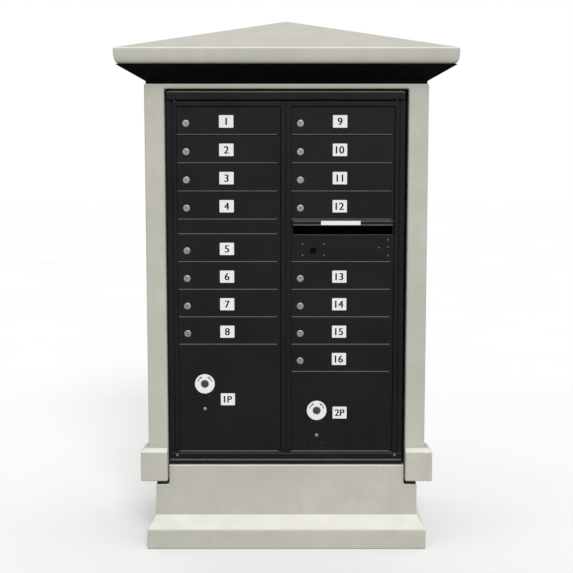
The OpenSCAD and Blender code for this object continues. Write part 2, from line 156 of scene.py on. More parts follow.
def build_pits():
    tree, given, out = effect("Pits", [("Scale", 60.0)], ["Pits"])
    cells_of = tree.nodes.new("ShaderNodeTexVoronoi")
    wire(tree, tree.nodes.new("ShaderNodeTexCoord").outputs["Object"], cells_of.inputs["Vector"])
    wire(tree, given.outputs["Scale"], cells_of.inputs["Scale"])
    chance = tree.nodes.new("ShaderNodeSeparateXYZ")
    wire(tree, cells_of.outputs["Color"], chance.inputs[0])
    size = spread(tree, chance.outputs["X"], 0.60, 1.0, 0.0, 0.11)
    inside = maths(tree, "SUBTRACT", size, cells_of.outputs["Distance"])
    wire(tree, spread(tree, inside, 0.0, 0.05), out.inputs["Pits"])
    return tree


def build_patches():
    tree, given, out = effect("Patches", [("Scale", 3.0)], ["Tone", "Blotches"])
    place = tree.nodes.new("ShaderNodeTexCoord").outputs["Object"]
    broad = noise(tree, place, given.outputs["Scale"], detail=4.0, rough=0.55)
    small = maths(tree, "MULTIPLY", given.outputs["Scale"], 6.0)
    finer = noise(tree, place, small, detail=5.0, rough=0.65)
    wire(tree, spread(tree, broad, 0.32, 0.68), out.inputs["Tone"])
    wire(tree, spread(tree, finer, 0.35, 0.70), out.inputs["Blotches"])
    return tree


def build_ledge_dust():
    tree, given, out = effect("Ledge Dust", [("Scale", 60.0)], ["Dust", "Grime and Shade"])
    facing = tree.nodes.new("ShaderNodeSeparateXYZ")
    wire(tree, tree.nodes.new("ShaderNodeNewGeometry").outputs["Normal"], facing.inputs[0])
    place = tree.nodes.new("ShaderNodeTexCoord").outputs["Object"]
    uneven = noise(tree, place, given.outputs["Scale"], detail=4.0)
    broken = spread(tree, uneven, 0.3, 0.7, 0.75, 1.0)
    # Upward sloping faces are painted paler, a painted highlight with some dust; nearly level tops
    # are painted darker, partly grime and partly painted shade.
    sloping = spread(tree, facing.outputs["Z"], 0.15, 0.5)
    level = spread(tree, facing.outputs["Z"], 0.70, 0.95)
    wire(tree, maths(tree, "MULTIPLY", sloping, broken), out.inputs["Dust"])
    wire(tree, maths(tree, "MULTIPLY", level, broken), out.inputs["Grime and Shade"])
    return tree


GRAIN, PITS, PATCHES, LEDGE_DUST_AND_LIGHT = build_grain(), build_pits(), build_patches(), build_ledge_dust()
print("effects:", GRAIN.name, PITS.name, PATCHES.name, LEDGE_DUST_AND_LIGHT.name)

# %% [markdown]
# **Rain streaks** stretch a noise along Z, so it reads as water marks that run down a wall.
# **Scuffs** are thin bright scratches: a noise squeezed along one axis and cut hard, which is how
# keys and rings mark the metal around a lock.

# %% Build the streak and scuff effects
def stretched(tree, size):
    """Object coordinates multiplied by a size along each axis."""
    node = tree.nodes.new("ShaderNodeVectorMath")
    node.operation = "MULTIPLY"
    node.inputs[1].default_value = size
    wire(tree, tree.nodes.new("ShaderNodeTexCoord").outputs["Object"], node.inputs[0])
    return node.outputs[0]


def build_streaks():
    tree, given, out = effect("Rain Streaks", [("Scale", 14.0)], ["Streaks"])
    tall = stretched(tree, (1.0, 1.0, 0.07))
    runs = spread(tree, noise(tree, tall, given.outputs["Scale"], detail=5.0, rough=0.6), 0.50, 0.75)
    gaps = spread(tree, noise(tree, stretched(tree, (1.0, 1.0, 0.6)), 2.5), 0.35, 0.65)
    wire(tree, maths(tree, "MULTIPLY", runs, gaps), out.inputs["Streaks"])
    return tree


def build_scuffs():
    tree, given, out = effect("Scuffs", [("Scale", 40.0)], ["Scuffs"])
    one = noise(tree, stretched(tree, (1.0, 1.0, 14.0)), given.outputs["Scale"], detail=2.0)
    two = noise(tree, stretched(tree, (9.0, 1.0, 1.3)), given.outputs["Scale"], detail=2.0)
    lines = maths(tree, "MAXIMUM", spread(tree, one, 0.70, 0.74), spread(tree, two, 0.71, 0.75))
    where = spread(tree, noise(tree, stretched(tree, (1.0, 1.0, 1.0)), 7.0), 0.45, 0.62)
    wire(tree, maths(tree, "MULTIPLY", lines, where), out.inputs["Scuffs"])
    return tree


STREAKS, SCUFFS = build_streaks(), build_scuffs()
print("effects:", STREAKS.name, SCUFFS.name)

# %% [markdown]
# A finish is a material with one Principled shader. The helper below starts it, and the small
# ones after it place an effect group, blend two colours by a mask, and turn heights into a bump.

# %% Start a finish and place effects in it
def finish(name, roughness, metallic=0.0, specular=0.5):
    """A new material and its Principled shader."""
    material = bpy.data.materials.new(name)
    material.use_nodes = True
    shader = material.node_tree.nodes["Principled BSDF"]
    shader.inputs["Roughness"].default_value = roughness
    shader.inputs["Metallic"].default_value = metallic
    shader.inputs["Specular IOR Level"].default_value = specular
    return material, material.node_tree, shader


def place_effect(tree, group, scale):
    """One copy of an effect group in a material, at its own scale."""
    node = tree.nodes.new("ShaderNodeGroup")
    node.node_tree = group
    node.inputs["Scale"].default_value = scale
    return node.outputs


def blend(tree, mask, base, over, strength=1.0):
    """Base colour, covered by another where the mask is strong. Each is a colour or a socket."""
    node = tree.nodes.new("ShaderNodeMix")
    node.data_type = "RGBA"
    wire(tree, maths(tree, "MULTIPLY", mask, strength), node.inputs["Factor"])
    for socket, value in ((node.inputs[6], base), (node.inputs[7], over)):
        if isinstance(value, tuple):
            socket.default_value = (*value, 1.0)
        else:
            wire(tree, value, socket)
    return node.outputs[2]


def bump(tree, shader, height, strength, distance):
    """Feed a height to the shader's normal."""
    node = tree.nodes.new("ShaderNodeBump")
    node.inputs["Strength"].default_value = strength
    node.inputs["Distance"].default_value = distance
    wire(tree, height, node.inputs["Height"])
    wire(tree, node.outputs["Normal"], shader.inputs["Normal"])


# %% [markdown]
# ## Cast stone
# The surround is cast stone: cement and fine sand poured in a mould, then rubbed. It is a warm,
# pale grey with soft patches, darker specks of aggregate and faint rain marks. A scanned texture
# would repeat and could not follow the shape, so the finish is noise at three scales, and grain
# drives the bump.

# %% Cast stone
def make_cast_stone():
    material, tree, shader = finish("rubbed_cast_stone", 0.88, specular=0.25)
    grain = place_effect(tree, GRAIN, 420.0)
    patches = place_effect(tree, PATCHES, 2.2)
    streaks = place_effect(tree, STREAKS, 16.0)
    pits = place_effect(tree, PITS, 75.0)
    dust_and_light = place_effect(tree, LEDGE_DUST_AND_LIGHT, 14.0)
    colour = blend(tree, patches["Tone"], (0.49, 0.482, 0.425), (0.57, 0.56, 0.50))
    colour = blend(tree, patches["Blotches"], colour, (0.43, 0.42, 0.36), 0.40)
    colour = blend(tree, grain["Specks"], colour, (0.34, 0.32, 0.275), 0.35)
    colour = blend(tree, streaks["Streaks"], colour, (0.38, 0.36, 0.30), 0.30)
    # Upward slopes are painted pale, a painted highlight with some dust; level tops are painted
    # darker, partly grime and partly painted shade.
    colour = blend(tree, dust_and_light["Dust"], colour, (0.84, 0.83, 0.76), 0.80)
    colour = blend(tree, dust_and_light["Grime and Shade"], colour, (0.37, 0.36, 0.31), 0.70)
    # The pits are painted dark, as painted shade in their hollows.
    colour = blend(tree, pits["Pits"], colour, (0.20, 0.19, 0.165), 0.8)
    wire(tree, colour, shader.inputs["Base Color"])
    height = maths(tree, "ADD", grain["Height"], maths(tree, "MULTIPLY", patches["Blotches"], 1.5))
    height = maths(tree, "SUBTRACT", height, maths(tree, "MULTIPLY", pits["Pits"], 3.0))
    bump(tree, shader, height, 0.35, 0.0012)
    return material


CAST_STONE = make_cast_stone()
print("finish:", CAST_STONE.name)

# %% [markdown]
# ## Black powder coat
# The cabinet and its doors have a near-black powder coat. It is satin, with a very fine orange
# peel, a little fading, a paler tone on the upward lips and ledges that is painted highlight with
# some dust, and a few key scratches. A plain black would look cut out, so roughness varies with
# the patches and the scuffs show the paler primer.

# %% Powder coat, and the near-black soffit finish that is painted shade
def make_powder_coat(name, base, worn, roughness, dust_and_highlight, shine, scuffed):
    material, tree, shader = finish(name, roughness, specular=shine)
    grain = place_effect(tree, GRAIN, 900.0)
    patches = place_effect(tree, PATCHES, 4.0)
    dust_and_light = place_effect(tree, LEDGE_DUST_AND_LIGHT, 90.0)
    scuffs = place_effect(tree, SCUFFS, 60.0)
    colour = blend(tree, patches["Tone"], base, worn)
    # Lips and ledges that face up are painted paler: a painted highlight, with some dust.
    colour = blend(tree, dust_and_light["Dust"], colour, (0.30, 0.30, 0.29), dust_and_highlight)
    colour = blend(tree, scuffs["Scuffs"], colour, (0.16, 0.165, 0.17), scuffed)
    wire(tree, colour, shader.inputs["Base Color"])
    wire(tree, spread(tree, patches["Blotches"], 0.0, 1.0, roughness - 0.06, roughness + 0.08),
         shader.inputs["Roughness"])
    bump(tree, shader, grain["Height"], 0.10, 0.0004)
    return material


POWDER_COAT = make_powder_coat(
    "satin_powder_coat", (0.0052, 0.0057, 0.0068), (0.0085, 0.0094, 0.0108),
    roughness=0.42, dust_and_highlight=0.50, shine=0.17, scuffed=0.4)
# The soffit's near-black is painted shade under the eaves; the carrier lock case and plug share this
# matt black.
SOFFIT_SHADE_AND_MATT_BLACK = make_powder_coat(
    "soffit_shade_and_matt_black", (0.0025, 0.0025, 0.0028), (0.004, 0.004, 0.0045),
    roughness=0.8, dust_and_highlight=0.1, shine=0.05, scuffed=0.0)
print("finishes:", POWDER_COAT.name, SOFFIT_SHADE_AND_MATT_BLACK.name)

# %% [markdown]
# ## Metals, rubber, label and ink
# The locks are nickel plate that has gone dull, and the pins, the latch bar and the screws are
# zinc. The hinge rods are a dark steel, partly a blackened finish and partly painted shade where
# they show in the gaps between the doors. All are metals with scratches and patchy roughness.
# The labels are white vinyl and the digits are a printed ink. The black rubber of the setting
# pads also paints the shade under the foot blocks.

# %% Metals
def make_metal(name, base, tarnish, roughness, scratch_scale):
    material, tree, shader = finish(name, roughness, metallic=1.0)
    patches = place_effect(tree, PATCHES, 45.0)
    scuffs = place_effect(tree, SCUFFS, scratch_scale)
    grain = place_effect(tree, GRAIN, 1500.0)
    colour = blend(tree, patches["Blotches"], base, tarnish)
    colour = blend(tree, scuffs["Scuffs"], colour, (0.85, 0.85, 0.84), 0.6)
    wire(tree, colour, shader.inputs["Base Color"])
    wire(tree, spread(tree, patches["Tone"], 0.0, 1.0, roughness - 0.08, roughness + 0.12),
         shader.inputs["Roughness"])
    bump(tree, shader, grain["Height"], 0.12, 0.0002)
    return material


LOCK_METAL = make_metal("dull_nickel", (0.50, 0.50, 0.49), (0.30, 0.295, 0.28), 0.38, 220.0)
FIXING_STEEL = make_metal("zinc_steel", (0.42, 0.42, 0.43), (0.24, 0.24, 0.24), 0.45, 160.0)
WORN_ZINC = make_metal("worn_zinc", (0.17, 0.17, 0.165), (0.08, 0.08, 0.075), 0.42, 220.0)
# The hinge rods' dark steel is partly a blackened finish and partly painted shade in the gaps
# between the doors.
DARK_STEEL_AND_GAP_SHADE = make_metal("dark_steel_and_gap_shade", (0.045, 0.045, 0.048), (0.02, 0.02, 0.02), 0.55, 160.0)
print("finishes:", LOCK_METAL.name, FIXING_STEEL.name, WORN_ZINC.name, DARK_STEEL_AND_GAP_SHADE.name)


# %% Rubber, label and ink
def make_plain(name, base, soiled, roughness, grain_scale):
    material, tree, shader = finish(name, roughness, specular=0.4)
    patches = place_effect(tree, PATCHES, 12.0)
    grain = place_effect(tree, GRAIN, grain_scale)
    colour = blend(tree, patches["Blotches"], base, soiled, 0.6)
    wire(tree, colour, shader.inputs["Base Color"])
    bump(tree, shader, grain["Height"], 0.08, 0.0003)
    return material


# The setting pads' black rubber also paints the shade in the strip under the foot blocks.
PAD_RUBBER_AND_SHADE = make_plain("pad_rubber_and_painted_shade", (0.012, 0.012, 0.012), (0.03, 0.03, 0.028), 0.85, 700.0)
LABEL = make_plain("white_vinyl", (0.86, 0.86, 0.85), (0.74, 0.73, 0.70), 0.45, 900.0)
INK = make_plain("printing_ink", (0.010, 0.010, 0.012), (0.03, 0.03, 0.03), 0.55, 900.0)
print("finishes:", PAD_RUBBER_AND_SHADE.name, LABEL.name, INK.name)

# %% [markdown]
# ## Drawing pieces
# A piece starts as an empty bmesh. Small drawing functions add slabs, blocks of cells, stacked
# rectangles, turned profiles and extruded profiles to it. The piece then gets a bevel, because no
# real edge is perfectly sharp and a bevel is what catches the light, and it rides on its body.

# %% Turn a drawing into a piece
def piece(name, draw, material, body, replaces=(), edge=0.6, steps=2, angle=30.0):
    """Draw in millimetres, scale to metres, bevel, shade, and ride on a body."""
    bm = bmesh.new()
    draw(bm)
    bmesh.ops.remove_doubles(bm, verts=bm.verts, dist=0.001)
    bmesh.ops.recalc_face_normals(bm, faces=bm.faces)
    bmesh.ops.scale(bm, vec=(MM, MM, MM), verts=bm.verts)
    mesh = bpy.data.meshes.new(name)
    bm.to_mesh(mesh)
    bm.free()
    for face in mesh.polygons:
        face.use_smooth = True
    mesh.materials.append(material)
    obj = bpy.data.objects.new(name, mesh)
    bpy.context.scene.collection.objects.link(obj)
    if edge:
        bevel = obj.modifiers.new("soft_edges", "BEVEL")
        bevel.width, bevel.segments = edge * MM, steps
        bevel.limit_method, bevel.angle_limit = "ANGLE", math.radians(angle)
        bevel.use_clamp_overlap = True
        bevel.harden_normals = True
    flat = obj.modifiers.new("flat_faces", "WEIGHTED_NORMAL")
    flat.keep_sharp = True
    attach(obj, body)
    if replaces:
        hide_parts(*replaces)
    return obj


# %% [markdown]
# `slab` is a box by its corners. `cells` takes cutting planes along each axis and keeps the skin
# of the cells that are solid, so one closed piece can have windows and steps without any boolean.

# %% Slabs and cells
def slab(bm, low, high):
    """A box between two corners."""
    made = bmesh.ops.create_cube(bm, size=1.0)["verts"]
    low, high = Vector(low), Vector(high)
    bmesh.ops.scale(bm, vec=high - low, verts=made)
    bmesh.ops.translate(bm, vec=(low + high) / 2, verts=made)


SIDES = (
    ((1, 0, 0), ((1, 0, 0), (1, 1, 0), (1, 1, 1), (1, 0, 1))),
    ((-1, 0, 0), ((0, 0, 0), (0, 0, 1), (0, 1, 1), (0, 1, 0))),
    ((0, 1, 0), ((0, 1, 0), (0, 1, 1), (1, 1, 1), (1, 1, 0))),
    ((0, -1, 0), ((0, 0, 0), (1, 0, 0), (1, 0, 1), (0, 0, 1))),
    ((0, 0, 1), ((0, 0, 1), (1, 0, 1), (1, 1, 1), (0, 1, 1))),
    ((0, 0, -1), ((0, 0, 0), (0, 1, 0), (1, 1, 0), (1, 0, 0))),
)


def cells(bm, xs, ys, zs, solid):
    """The closed skin of the cells (i, j, k) for which solid is true."""
    kept = {
        (i, j, k)
        for i in range(len(xs) - 1)
        for j in range(len(ys) - 1)
        for k in range(len(zs) - 1)
        if solid(i, j, k)
    }
    corners, faces = {}, []
    for i, j, k in kept:
        for (di, dj, dk), quad in SIDES:
            if (i + di, j + dj, k + dk) not in kept:
                ring = []
                for a, b, c in quad:
                    key = (i + a, j + b, k + c)
                    if key not in corners:
                        corners[key] = bm.verts.new((xs[key[0]], ys[key[1]], zs[key[2]]))
                    ring.append(corners[key])
                faces.append(bm.faces.new(ring))
    edges = {edge for face in faces for edge in face.edges}
    bmesh.ops.dissolve_limit(
        bm, angle_limit=math.radians(1), verts=list(corners.values()), edges=list(edges)
    )


# %% [markdown]
# Most of the other shapes are rings of points with walls between them. `tube` makes the wall
# between two rings, and `prism` closes both ends as well. `fill_between` makes the flat face
# between an outline and a round hole in it, for the locks and the hinge rods.

# %% Rings of points
def ring_of(bm, place, radius, steps):
    """Points on a circle. place turns the two flat offsets of a point into its position."""
    turns = [2 * math.pi * n / steps for n in range(steps)]
    return [bm.verts.new(place(radius * math.cos(a), radius * math.sin(a))) for a in turns]


def ring_at(bm, x, y, z, radius, steps):
    """A ring that faces the front, with its middle at x, y, z."""
    return ring_of(bm, lambda a, b: (x + a, y, z + b), radius, steps)


def tube(bm, one, two):
    """The wall between two rings of the same count."""
    for n in range(len(one)):
        bm.faces.new([one[n - 1], one[n], two[n], two[n - 1]])


def prism(bm, one, two):
    """A closed shape between two rings."""
    tube(bm, one, two)
    bm.faces.new(one)
    bm.faces.new(two)


def fill_between(bm, outline, hole):
    """The flat face between an outline and a round hole in it."""
    pairs = [(ring[n - 1], ring[n]) for ring in (outline, hole) for n in range(len(ring))]
    edges = [bm.edges.get(pair) or bm.edges.new(pair) for pair in pairs]
    bmesh.ops.triangle_fill(bm, use_beauty=True, use_dissolve=False, edges=edges)


# %% [markdown]
# `rings` joins rectangles at different heights, which gives plinths, eaves and pyramids with
# mitred corners. `turned` spins a profile about an axis that points out of the door, for locks
# and screws. `swept` pushes a side profile along X, for lips and hoods.

# %% Rings, turned and swept shapes
def rings(bm, levels, centre=(0.0, 0.0), close=False):
    """Skin over rectangles (half width, half depth, height). A closed list makes a hollow ring."""
    loops = []
    for hw, hd, z in levels:
        corners = [(-hw, -hd), (hw, -hd), (hw, hd), (-hw, hd)]
        if hw < 0.01 or hd < 0.01:
            loops.append([bm.verts.new((centre[0], centre[1], z))] * 4)
        else:
            loops.append([bm.verts.new((centre[0] + x, centre[1] + y, z)) for x, y in corners])
    pairs = list(zip(loops, loops[1:])) + ([(loops[-1], loops[0])] if close else [])
    for lower, upper in pairs:
        for n in range(4):
            ring = [lower[n], lower[(n + 1) % 4], upper[(n + 1) % 4], upper[n]]
            bm.faces.new(list(dict.fromkeys(ring)))
    if not close:
        for loop in (loops[0], loops[-1]):
            if len(set(loop)) == 4:
                bm.faces.new(loop)


def turned(bm, x, z, profile, steps=32, ends=(True, True), ring=False):
    """Spin (radius, y) points about a line along Y through x, z. A ring has no ends."""
    loops = []
    for radius, y in profile:
        if radius < 0.01:
            loops.append([bm.verts.new((x, y, z))] * steps)
        else:
            loops.append(ring_at(bm, x, y, z, radius, steps))
    for one, two in list(zip(loops, loops[1:])) + ([(loops[-1], loops[0])] if ring else []):
        for n in range(steps):
            corners = [one[n], one[(n + 1) % steps], two[(n + 1) % steps], two[n]]
            bm.faces.new(list(dict.fromkeys(corners)))
    for loop, wanted in zip((loops[0], loops[-1]), ends):
        if wanted and not ring and len(set(loop)) > 1:
            bm.faces.new(loop)


def swept(bm, x0, x1, profile):
    """Push (y, z) points along X from x0 to x1."""
    prism(bm, *([bm.verts.new((x, y, z)) for y, z in profile] for x in (x0, x1)))


def in_stone(name, draw, node, edge, steps, angle=30.0):
    """A piece of the cast surround."""
    piece(name, draw, CAST_STONE, "housing", [node], edge, steps, angle)


def in_black(name, draw, body, node, edge, steps=2):
    """A powder-coated piece."""
    piece(name, draw, POWDER_COAT, body, [node], edge, steps)


print("drawing functions ready")

# %% [markdown]
# ## The stone surround
# The column is one casting: two jambs joined by a thin lintel. `cells` draws it whole, so no seam
# shows where the lintel meets the jambs. A cast edge is blunt, so its bevel is several
# millimetres.

# %% Column and rear panel
def draw_column(bm):
    low, high = STONE
    jamb = box_mm("rear_panel")[0].x
    lintel = box_mm("top_hood")[1].z + 7
    xs = [low.x, jamb, -jamb, high.x]
    ys = [low.y, low.y + 42, high.y]
    zs = [low.z, lintel, high.z]
    cells(bm, xs, ys, zs, lambda i, j, k: i != 1 or (j == 0 and k == 1))


def draw_rear_panel(bm):
    low, high = box_mm("rear_panel")
    slab(bm, low + Vector((0.6, 0, 0)), high - Vector((0.6, 0.6, 0.2)))


in_stone("stone_column", draw_column, "column_shell", 5.0, 3)
in_stone("stone_rear_panel", draw_rear_panel, "rear_panel", 3.0, 3)
print("column and rear panel in stone")

# %% [markdown]
# The roof cap is a hollow casting with a square fascia and four slopes that meet at a point.
# Rings of rectangles give the hips exactly. The soffit below it steps out from the neck to the
# eaves; its near-black is painted shade under the eaves.

# %% Roof cap and soffit
def draw_roof(bm):
    low, high = box_mm("roof_cap")
    hw, hd = high.x, high.y
    fascia = low.z + 50.5
    curve = ((14, 0), (7, 5), (3, 14), (1, 24), (0, 34))
    under = [(hw - inset, hd - inset, low.z + rise) for inset, rise in curve]
    rings(bm, under + [(hw, hd, fascia), (0, 0, high.z)])


def draw_soffit(bm):
    low, high = box_mm("roof_soffit")
    neck_w, neck_d = STONE[1].x - 5, STONE[1].y - 5
    neck = low.z + 11.5
    rings(bm, [(neck_w, neck_d, low.z), (neck_w, neck_d, neck), (high.x, high.y, high.z - 0.3)])


in_stone("stone_roof_cap", draw_roof, "roof_cap", 6.0, 4, angle=8.0)
# The near-black soffit and neck are painted shade under the eaves.
piece("soffit_painted_shade", draw_soffit, SOFFIT_SHADE_AND_MATT_BLACK, "housing", ["roof_soffit"], 1.5, 2)
print("roof cap and soffit")

# %% [markdown]
# The lower cover is one casting too: a plinth, a bevel, plain walls and a raised front panel
# between the jambs. Each foot block wraps a jamb's front corner and has a bevelled top.

# %% Lower cover and foot blocks
def draw_lower_cover(bm):
    high = box_mm("pedestal_cover")[1]
    hw, hd, wall, panel = 433.5, STONE[1].y, 40.0, 390.0
    plinth, bevel, shoulder = 65.0, 111.0, 213.0
    rings(bm, [
        (high.x, high.y, 0), (high.x, high.y, plinth), (hw, hd, bevel + 0.2),
        (hw - wall, hd - wall, bevel), (hw - wall, hd - wall, 0)], close=True)
    xs = [-hw, wall - hw, -panel, panel, hw - wall, hw]
    ys = [-hd, wall - hd, hd - wall, hd]
    zs = [bevel - 4, shoulder, high.z]
    cells(bm, xs, ys, zs,
          lambda i, j, k: (k == 0 and (i in (0, 4) or j != 1)) or (i == 2 and j == 0))


def draw_foot_blocks(bm):
    low, high = box_mm("base_blocks")
    inner, bevel = -box_mm("rear_panel")[0].x, 13.0
    front = STONE[0].y
    for side in (-1, 1):
        def at(x, y, z):
            return bm.verts.new((side * x, y, z))
        behind = [(STONE[1].x, high.y), (STONE[1].x, front), (inner, front)]
        plan = [(inner, low.y), (high.x, low.y), (high.x, high.y)] + behind
        cut_x, cut_y = high.x - bevel, low.y + bevel
        cut = [(inner, cut_y), (cut_x, cut_y), (cut_x, high.y)] + behind
        levels = [
            [at(x, y, low.z) for x, y in plan],
            [at(x, y, high.z - bevel) for x, y in plan],
            [at(x, y, high.z) for x, y in cut],
        ]
        for lower, upper in zip(levels, levels[1:]):
            tube(bm, lower, upper)
        bm.faces.new(levels[0])
        bm.faces.new(levels[2])


in_stone("stone_lower_cover", draw_lower_cover, "pedestal_cover", 4.0, 3)
in_stone("stone_foot_blocks", draw_foot_blocks, "base_blocks", 3.5, 3)
print("lower cover and foot blocks")

# %% [markdown]
# ## The cabinet front
# The hood is a bullnose band with rounded ends, bent from sheet. The sill has a ledge that throws
# rain clear of the stone. Both are drawn as side profiles swept along X, which is how the metal
# was made.

# %% Hood and sill
def rounded_band(bm, low, high, radius, steps=8):
    """A bar along X whose two upper front corners are round, seen from the front."""
    outline = [(low.x, low.z), (high.x, low.z)]
    for side, start in ((1, 0.0), (-1, 90.0)):
        cx = (high.x - radius) if side > 0 else (low.x + radius)
        for n in range(steps + 1):
            turn = math.radians(start + 90.0 * n / steps)
            rise = radius * math.sin(turn) - radius
            outline.append((cx + radius * math.cos(turn), high.z + rise))
    prism(bm, *([bm.verts.new((x, y, z)) for x, z in outline] for y in (low.y, high.y)))


def draw_hood(bm):
    low, high = box_mm("top_hood")
    rounded_band(bm, low, Vector((high.x, FACE + 3.9, high.z)), 10.0)
    slab(bm, (low.x + 3.1, FACE + 3.0, low.z + 0.2), (high.x - 3.1, high.y, high.z - 3.2))


def draw_sill(bm):
    low, high = box_mm("bottom_sill")
    ledge = high.z - 20.5
    swept(bm, low.x, high.x, [
        (FACE + 3.9, low.z), (low.y, low.z), (low.y, ledge - 1.6), (low.y + 1.6, ledge),
        (FACE, ledge), (FACE, high.z), (FACE + 3.9, high.z)])
    slab(bm, (low.x + 3.1, FACE + 3.0, low.z + 3.2), (high.x - 3.1, high.y, high.z - 0.1))


in_black("cabinet_hood", draw_hood, "housing", "top_hood", 5.0, 4)
in_black("cabinet_sill", draw_sill, "housing", "bottom_sill", 0.8)
print("hood and sill")

# %% [markdown]
# The two master doors are frames of stiles and rails behind the small doors. Each member is a
# slab, and its place comes from the small doors' own boxes. Members that meet stay a hair apart,
# so that each is a closed shape with its own bevelled edges. The outer stile has a blind hole in
# each end for the pivot pin, and a thin rain lip behind the cabinet's flange.

# %% Master door frames
JOINT = 0.02            # between members that meet
STILE_BACK = FACE + 18  # back of the stiles and rails
RAIL_FRONT = FACE + 8   # front of the rails that the small doors close over
LATCH_BAR = 990.0       # centre height of the latch bar


def draw_pin_stile(bm, across, up, pin_x):
    """An outer stile with a blind hole in each end for the pivot pin."""
    pin_y, pin_r, deep = FACE + 7, 3.1, 13.2
    (x0, x1), ends = across, []
    for z, end in ((up[0], up[0] + deep), (up[1], up[1] - deep)):
        corners = ((x0, FACE), (x1, FACE), (x1, STILE_BACK), (x0, STILE_BACK))
        ends.append([bm.verts.new((x, y, z)) for x, y in corners])
        mouth = ring_of(bm, lambda a, b: (pin_x + a, pin_y + b, z), pin_r, 24)
        floor = ring_of(bm, lambda a, b: (pin_x + a, pin_y + b, end), pin_r, 24)
        fill_between(bm, ends[-1], mouth)
        tube(bm, mouth, floor)
        bm.faces.new(floor)
    tube(bm, ends[0], ends[1])


def draw_master(bm, node, doors, joints, parcel):
    """One master door. joints are the heights of joints that are not the foot of a tenant door."""
    low, high = box_mm(node)
    leaf = box_mm(doors[0])
    left, right = leaf[0].x - 1.5, leaf[1].x + 1.5
    foot = box_mm(parcel)[0].z
    top = leaf[1].z + 3.5
    side = 1 if low.x > CENTRE - 10 else -1
    if side > 0:
        edge, outer, inner = high.x, (right, high.x), (low.x, left)
    else:
        edge, outer, inner = low.x, (low.x, left), (right, high.x)
    draw_pin_stile(bm, outer, (low.z, high.z), edge - side * 5)
    slab(bm, (inner[0], FACE, low.z), (inner[1], STILE_BACK, high.z))
    left, right = left + JOINT, right - JOINT
    slab(bm, (left, FACE, top), (right, STILE_BACK, high.z))
    slab(bm, (left, FACE, low.z), (right, STILE_BACK, foot - 1))
    slab(bm, (left, RAIL_FRONT, foot - 1 + JOINT), (right, STILE_BACK, foot + 8))
    for z in sorted([box_mm(door)[0].z for door in doors] + joints):
        slab(bm, (left, RAIL_FRONT, z - 6.5), (right, STILE_BACK, z + 3.5))
    slab(bm, (left, FACE + 6, foot + 8 + JOINT), (left + 6.5, RAIL_FRONT - JOINT, top - 0.5))
    lip = sorted((edge - side * 0.5, edge + side * 6.5))
    slab(bm, (lip[0], FACE + 4.6, low.z + 2), (lip[1], FACE + 6.0, high.z - 2))


blank = box_mm("blank_filler_panel")
carrier = box_mm("carrier_lock_panel")


def draw_left_master(bm):
    draw_master(bm, "left_master_door", LEFT_DOORS, [blank[0].z], "parcel_door_1")
    x, plate, foot, head = CENTRE - 16, STILE_BACK + 9.3, LATCH_BAR - 14, LATCH_BAR + 14
    slab(bm, (x, plate, foot), (x + 4, STILE_BACK + 12, head))
    for z in (foot, head - 5):
        slab(bm, (x, STILE_BACK + JOINT, z), (x + 4, plate - JOINT, z + 5))


def draw_right_master(bm):
    joints = [carrier[1].z - 0.5, carrier[0].z]
    draw_master(bm, "right_master_door", RIGHT_DOORS, joints, "parcel_door_2")


in_black("left_master_frame", draw_left_master, "left_master", "left_master_door", 0.5)
in_black("right_master_frame", draw_right_master, "right_master", "right_master_door", 0.5)
print("master door frames")

# %% [markdown]
# ## Doors
# Each door is a flat leaf whose right edge curls back into a barrel for the hinge rod, and a
# small bevelled lip along its lowest edge that sheds water. The lip catches the light and draws a
# thin bright line. One drawing function serves all eighteen doors, because only the height
# changes.

# %% Door leaves
ROD_BORE = 1.62                         # radius of the bore for the hinge rod
TENANT_PLUG, PARCEL_PLUG = 7.0, 8.0     # radii of the lock plugs
TENANT_HOLE, PARCEL_HOLE = 9.56, 10.56  # radii of the lock holes in the leaves


def lock_centre(node, radius):
    """The middle of a lock plug. Its cam hangs below it, so the top of its box sets the height."""
    low, high = box_mm(node)
    return (low.x + high.x) / 2, high.z - radius


def at_face(*points):
    """Turn (radius, depth behind the door faces) into (radius, y)."""
    return [(radius, FACE + depth) for radius, depth in points]


def draw_leaf(bm, low, high, lock_x, lock_z, lock_r):
    """A leaf between two corners, with a bored barrel, a lock hole and a drip lip."""
    rod_x, rod_y, steps = high.x - 3, FACE + 3, 15
    curl = [math.radians(-90 + 270 * n / steps) for n in range(steps + 1)]
    barrel = [(rod_x + 3 * math.cos(a), rod_y + 3 * math.sin(a)) for a in curl]
    plan = [(low.x, FACE)] + barrel + [(low.x, FACE + 3)]
    ends, bores = [], []
    for z in (low.z, high.z):
        ends.append([bm.verts.new((x, y, z)) for x, y in plan])
        bores.append(ring_of(bm, lambda a, b: (rod_x + a, rod_y + b, z), ROD_BORE, 24))
        fill_between(bm, ends[-1], bores[-1])
    tube(bm, bores[0], bores[1])
    foot, head = ends
    for n in range(-1, len(plan) - 2):
        if n != 0:
            bm.faces.new([foot[n], foot[n + 1], head[n + 1], head[n]])
    holes = []
    for y, pair in ((FACE, (0, 1)), (FACE + 3, (-1, -2))):
        holes.append(ring_at(bm, lock_x, y, lock_z, lock_r, 40))
        one, two = pair
        fill_between(bm, [foot[one], foot[two], head[two], head[one]], holes[-1])
    tube(bm, holes[0], holes[1])
    draw_lip(bm, low.x + 0.5, high.x - 10, low.z)


def draw_lip(bm, x0, x1, z):
    """The bevelled drip lip, proud of the face."""
    back, front = FACE + 0.2, FACE - 1.5
    swept(bm, x0, x1, [(back, z), (front, z), (front, z + 0.8), (FACE, z + 2.8), (back, z + 2.8)])


